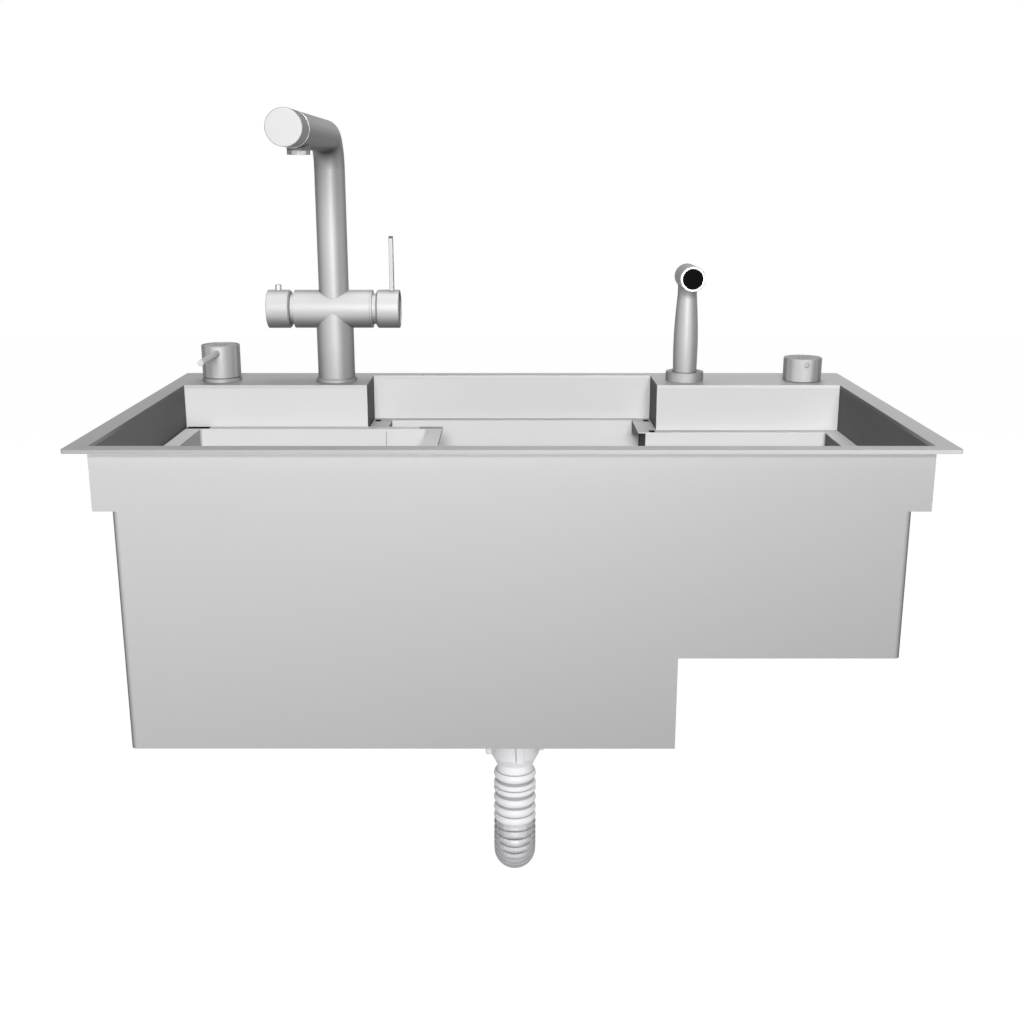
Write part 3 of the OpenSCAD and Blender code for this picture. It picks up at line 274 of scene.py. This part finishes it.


# dark and light are the metal's two tones, brush is the streaks' scale along each axis, wear what
# worn edges gain, edge the radius of the soft edges, slant the painted shade's tone left when seen
# edge on, and fade a painted light gradient, a base tone with its change per metre of x and z.
# Only some metals have these, all painted light and shade: turns and spans, tone ramps by the
# normal and by the place (axis, tone before, tone after, start, end); valley, a painted reflection
# band, a tone and where along the normal's x it starts, is full, starts to end and ends; arm, a
# painted reflection ramp by the normal's z, within armSpan of y; side and inner, painted tones of
# the outer and the inner cut edges; round, the radius that slant sees; crease, what a groove loses
# to painted shade, within creaseDepth; ripple, how far painted reflection bands swing the tone with
# the slant, ripples times.
# The steels below are lit and shaded copies of one sheet steel: their differing tones are painted
# light and shade.
plainSteel = {
    "dark": 0.60, "light": 0.68, "tint": 0.002, "metallic": 0.08, "rough": 0.44, "gloss": 0.12,
    "brush": (6.0, 900.0, 900.0), "streak": 0.35, "blotch": 3.0, "blotchDepth": 0.4, "wear": 0.06,
    "edge": 0.0007, "bump": 0.10, "slant": 0.69, "slantSpan": (0.3, 0.7, "SMOOTHSTEP"),
    "fade": (0.90, 0.30, 0.0)}
sheetSteel = dict(plainSteel, side=0.68, inner=(1.32, 0.06))
panelSteel = dict(plainSteel, dark=0.46, light=0.505, edge=0.0, slant=0.8, fade=(0.82, -0.22, 0.56),
                  spans=(("z", 1.0, 2.0, -0.0055, -0.003),))
wallSteel = dict(plainSteel, dark=0.74, light=0.82, metallic=0.04, gloss=0.03, slant=0.065,
                 slantSpan=(0.3, 0.85, "SMOOTHSTEP"), fade=(1.0, 0.0, 0.0))
deepSteel = dict(wallSteel, dark=0.80, light=0.88, rough=0.5, edge=0.0)
sideSteel = dict(deepSteel, slant=0.17, slantSpan=(0.05, 0.8), fade=(0.50, -0.13, 0.29),
                 outside=(-0.05, 0.05))
trayMetal = dict(wallSteel, dark=0.76, light=0.84, slant=0.86, brush=(700.0, 6.0, 700.0),
                 turns=(("x", 1.0, 0.6, 0.5, 0.9),), seam=-0.1547, seamTone=0.5,
                 seamSpan=(0.0004, 0.0005), seamTop=(-0.0515, -0.0508))
ledgeSteel = dict(plainSteel, dark=0.68, light=0.76, slant=0.64, fade=(1.157, 0.575, 0.0),
                  spans=(("y", 1.0, 0.8, 0.19, 0.21),))
satinMetal = {
    "dark": 0.50, "light": 0.58, "tint": 0.002, "metallic": 0.12, "rough": 0.42, "gloss": 0.12,
    "brush": (900.0, 900.0, 10.0), "streak": 0.3, "blotch": 20.0, "blotchDepth": 0.25, "wear": 0.08,
    "edge": 0.0004, "bump": 0.06, "slant": 0.42, "slantSpan": (0.03, 0.6),
    "valley": (0.7, 0.2, 0.5, 0.6, 0.9)}
# The tap, spout, knob, band, lever, grip, nozzle and cap metals are lit and shaded copies of the
# satin metal: their differing tones are painted light and shade.
tapMetal = dict(satinMetal, turns=(("z", 0.62, 1.0, -0.6, -0.25), ("z", 1.0, 1.85, 0.2, 0.95)))
spoutMetal = dict(satinMetal, arm=(0.24, 1.0, -0.3, 0.35), armSpan=(0.145, 0.163))
knobMetal = dict(tapMetal, turns=tapMetal["turns"] + (("x", 1.0, 0.1, 0.85, 0.97),))
bandMetal = dict(satinMetal, dark=0.53, light=0.61, ripple=0.09, ripples=22.0, crease=0.7,
                 creaseDepth=0.004, creaseSpan=(0.35, 0.7))
chromeMetal = {
    "dark": 0.70, "light": 0.78, "tint": 0.004, "metallic": 0.2, "rough": 0.2, "gloss": 0.3,
    "brush": (40.0, 40.0, 40.0), "streak": 0.3, "blotch": 30.0, "blotchDepth": 0.3, "wear": 0.06,
    "edge": 0.0004, "bump": 0.02, "slant": 0.2, "slantSpan": (0.04, 0.5), "ripple": 0.2,
    "ripples": 16.0}
capMetal = dict(satinMetal, dark=0.43, light=0.47, slant=0.3, slantSpan=(0.1, 0.7))
leverMetal = dict(satinMetal, dark=0.46, light=0.54, slant=0.18, slantSpan=(0.02, 0.2),
                  round=0.0012)
gripMetal = dict(satinMetal, dark=0.58, light=0.66, slant=0.5)
nozzleMetal = dict(satinMetal, dark=0.62, light=0.70, slant=0.75, slantSpan=(0.3, 0.95))
brassMetal = dict(satinMetal, dark=0.40, light=0.55)

# low and high are the two ends of the colour, grain the blotches' scale, axis the pipe's axis.
whitePlastic = {
    "low": (0.66, 0.66, 0.685, 1), "high": (0.72, 0.72, 0.745, 1), "metallic": 0.0, "rough": 0.42,
    "gloss": 0.2, "grain": 25.0, "edge": 0.0004, "bump": 0.02, "crease": 0.35, "creaseDepth": 0.003,
    "creaseSpan": (0.3, 0.8)}
bellowsPlastic = dict(whitePlastic, low=(0.74, 0.74, 0.76, 1), high=(0.80, 0.80, 0.82, 1),
                      crease=0.9, creaseDepth=0.012, creaseSpan=(0.42, 0.72), bump=0.0,
                      axis=(0.0036, 0.0, 0.0), grooveTone=0.45, grooveSpan=(0.0232, 0.0237),
                      neckSpan=(0.0222, 0.0228))
greyPlastic = {
    "low": (0.52, 0.52, 0.54, 1), "high": (0.62, 0.62, 0.645, 1), "metallic": 0.1, "rough": 0.3,
    "gloss": 0.25, "grain": 30.0, "edge": 0.0004, "bump": 0.0, "crease": 0.4, "creaseDepth": 0.004,
    "creaseSpan": (0.3, 0.8), "slant": 0.35, "slantSpan": (0.05, 0.7), "ripple": 0.12,
    "ripples": 20.0}
padRubber = {
    "low": (0.10, 0.10, 0.11, 1), "high": (0.18, 0.18, 0.19, 1), "metallic": 0.0, "rough": 0.8,
    "gloss": 0.5, "grain": 80.0, "edge": 0.0005, "bump": 0.6}
# The seal's pale grey is partly its own colour and partly painted light, which keeps its line under
# the rim from reading dark.
sealFoam = dict(padRubber, low=(0.74, 0.74, 0.75, 1), high=(0.82, 0.82, 0.83, 1), grain=60.0,
                edge=0.0002, bump=0.2)
blackRubber = dict(padRubber, low=(0.002, 0.002, 0.002, 1), high=(0.006, 0.006, 0.006, 1),
                   rough=0.6, gloss=0.03, grain=60.0, edge=0.0003, bump=0.1)

metals = {
    "sheet": ("sheet steel", sheetSteel), "panel": ("front panel steel", panelSteel),
    "wall": ("upper wall steel", wallSteel), "deep": ("bowl steel", deepSteel),
    "side": ("bowl side steel", sideSteel), "tray": ("tray steel", trayMetal),
    "ledge": ("ledge steel", ledgeSteel), "satin": ("satin metal", satinMetal),
    "chrome": ("chrome", chromeMetal), "brass": ("brass", brassMetal),
    "tap": ("tap metal", tapMetal), "spout": ("spout metal", spoutMetal),
    "knob": ("knob metal", knobMetal), "band": ("banded metal", bandMetal),
    "lever": ("lever metal", leverMetal), "grip": ("grip metal", gripMetal),
    "nozzle": ("nozzle metal", nozzleMetal), "cap": ("spout cap", capMetal)}
plastics = {
    "white": ("white plastic", whitePlastic), "bellows": ("bellows plastic", bellowsPlastic),
    "grey": ("grey plastic", greyPlastic), "foam": ("seal foam", sealFoam),
    "black": ("black rubber", blackRubber), "pad": ("damping pad", padRubber)}
materials = {key: metalMaterial(*entry) for key, entry in metals.items()}
materials.update({key: plasticMaterial(*entry) for key, entry in plastics.items()})

bySlot = {
    "brushed_steel": "sheet", "satin_steel": "satin", "chrome": "chrome", "brass": "brass",
    "white_plastic": "white", "grey_plastic": "grey", "black_rubber": "black",
    "damping_rubber": "pad"}
byNode = {
    "front_panel": "panel", "upper_walls": "wall", "niche_walls": "deep", "deep_floor": "deep",
    "shallow_floor": "deep", "bowl_walls": "side", "tray_tub": "tray", "tray_floor": "tray",
    "ledge": "ledge", "front_rail": "ledge", "rim_seal": "foam", "bellows_pipe": "bellows",
    "tap_body": "tap", "filter_knob": "tap", "neck_collars": "tap", "mixer_knob": "knob",
    "mixer_lever": "lever", "spout_tube": "spout", "spout_end_cap": "cap", "soap_sleeve": "band",
    "soap_button": "band", "soap_nozzle": "nozzle", "control_knob": "band", "control_base": "band",
    "spray_grip": "grip"}
slotOf = {part["node"]: part["material_slot"] for part in frame["record"]["subparts"]}
for name, obj in nodes.items():
    chosen = materials[byNode.get(name, bySlot[slotOf[name]])]
    if not obj.material_slots:
        obj.data.materials.append(chosen)
    for slot in obj.material_slots:
        slot.material = chosen
print("materials assigned")

# count strokes, pitch apart; cut is the chamfer, which starts shoulder below the metal, and also
# how far the black bar's top lies below it; the black bars are painted shade in the strokes
strokes = {"count": 3, "pitch": 0.006, "half": 0.00055, "length": 0.0057, "depth": 0.0004,
           "shoulder": 0.0003, "cut": 0.00015}
soapTop = {"centre": (-0.366, 0.182), "z": 0.0484}
controlTop = {"centre": (0.366, 0.182), "z": 0.0329}


def buildStrokes(name, body, top):
    # Painted shade: black bars set in the engraved strokes on a round top, each with a chamfered
    # upper edge.
    verts, faces = [], []
    s = strokes
    y = top["centre"][1]
    for stroke in range(s["count"]):
        x = top["centre"][0] + (stroke - (s["count"] - 1) / 2) * s["pitch"]
        base = len(verts)
        for inset, drop in ((0.0, s["depth"]), (0.0, s["shoulder"]), (s["cut"], s["cut"])):
            w, h = s["half"] - inset, s["length"] / 2 - inset
            z = top["z"] - drop
            verts += [(x - w, y - h, z), (x + w, y - h, z), (x + w, y + h, z), (x - w, y + h, z)]
        faces.append((base + 3, base + 2, base + 1, base))
        for ring in (base, base + 4):
            for corner in range(4):
                after = (corner + 1) % 4
                faces.append((ring + corner, ring + after, ring + 4 + after, ring + 4 + corner))
        faces.append((base + 8, base + 9, base + 10, base + 11))
    mesh = bpy.data.meshes.new(name)
    mesh.from_pydata(verts, [], faces)
    piece = bpy.data.objects.new(name, mesh)
    bpy.context.scene.collection.objects.link(piece)
    mesh.materials.append(materials["black"])
    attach(piece, body)


buildStrokes("soap_stroke_shade", "soap_push", soapTop)
buildStrokes("control_stroke_shade", "waste_handle", controlTop)
print("marks built")

# drop is how far the floor lies below the part, glowShare how much of what the eye sees is glow
floorPlan = {"drop": 0.06, "half": 6.0, "tone": 0.85, "rough": 0.9, "glow": 1.045,
             "glowShare": 0.94}
worldGlow = 0.05


def lightPath(start):
    # 1 for rays that come straight from the camera or by way of gloss or glass
    outputs = start.tree.nodes.new("ShaderNodeLightPath").outputs
    camera = Wire(start.tree, outputs["Is Camera Ray"])
    glossy = Wire(start.tree, outputs["Is Glossy Ray"])
    through = Wire(start.tree, outputs["Is Transmission Ray"])
    return (camera + glossy + through).clamped()


def buildFloor(s):
    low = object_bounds()[0]
    z = low[2] - s["drop"]
    half = s["half"]
    mesh = bpy.data.meshes.new("floor")
    corners = [(-half, -half, z), (half, -half, z), (half, half, z), (-half, half, z)]
    mesh.from_pydata(corners, [], [(0, 1, 2, 3)])
    floor = bpy.data.objects.new("floor", mesh)
    bpy.context.scene.collection.objects.link(floor)
    mat, shader, place = newMaterial("floor")
    place.feed(shader.inputs["Base Color"], grey(s["tone"]))
    shader.inputs["Roughness"].default_value = s["rough"]
    glow = place.make("ShaderNodeEmission", {}, {"Color": white, "Strength": s["glow"]})
    inputs = {0: lightPath(place) * s["glowShare"], 1: shader.outputs[0], 2: glow}
    mixed = place.make("ShaderNodeMixShader", {}, inputs)
    place.feed(mat.node_tree.nodes["Material Output"].inputs["Surface"], mixed)
    mesh.materials.append(mat)
    floor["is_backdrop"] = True


def buildWorld(level):
    world = bpy.data.worlds.new("studio")
    bpy.context.scene.world = world
    world.use_nodes = True
    background = world.node_tree.nodes["Background"]
    start = Wire(world.node_tree, background.outputs[0])
    start.feed(background.inputs["Color"], white)
    start.feed(background.inputs["Strength"], (lightPath(start) * (1 - level)) + level)


# The back lamp leaves no highlight, or the decks would glare.
lamps = {
    "key": {"size": (1.2, 0.7), "power": 88.0, "place": (0.12, -3.2, 1.05), "aim": (0, 0, -0.05),
            "glossy": True},
    "low": {"size": (1.2, 0.4), "power": 16.0, "place": (0.1, -3.0, -0.15), "aim": (0, 0, -0.3),
            "glossy": True},
    "top": {"size": (1.6, 1.6), "power": 24.0, "place": (0.2, 0.6, 2.4), "aim": (0, 0.05, 0),
            "glossy": True},
    "back": {"size": (1.4, 0.9), "power": 34.0, "place": (0.5, 3.1, 0.8), "aim": (0, 0.2, -0.1),
             "glossy": False}}


def addLamp(name, s):
    data = bpy.data.lights.new(name, "AREA")
    data.shape = "RECTANGLE"
    data.size, data.size_y = s["size"]
    data.energy = s["power"]
    lamp = bpy.data.objects.new(name, data)
    bpy.context.scene.collection.objects.link(lamp)
    lamp.location = s["place"]
    lamp.visible_glossy = s["glossy"]
    toAim = Vector(s["aim"]) - Vector(s["place"])
    lamp.rotation_euler = toAim.to_track_quat("-Z", "Y").to_euler()


buildFloor(floorPlan)
buildWorld(worldGlow)
for name, settings in lamps.items():
    addLamp(name, settings)
print("stage built")

cameraPlan = {"place": (0.00082, -1.39463, 0.25123), "pitch": 75.081, "turn": 0.031, "lens": 44.13,
              "sensor": 36.0}


def buildCamera(s):
    data = bpy.data.cameras.new("camera")
    data.lens = s["lens"]
    data.sensor_width = s["sensor"]
    camera = bpy.data.objects.new("camera", data)
    bpy.context.scene.collection.objects.link(camera)
    camera.location = s["place"]
    camera.rotation_euler = (math.radians(s["pitch"]), 0.0, math.radians(s["turn"]))
    bpy.context.scene.camera = camera


buildCamera(cameraPlan)
bpy.context.scene.view_settings.view_transform = "Standard"
print("scene ready")
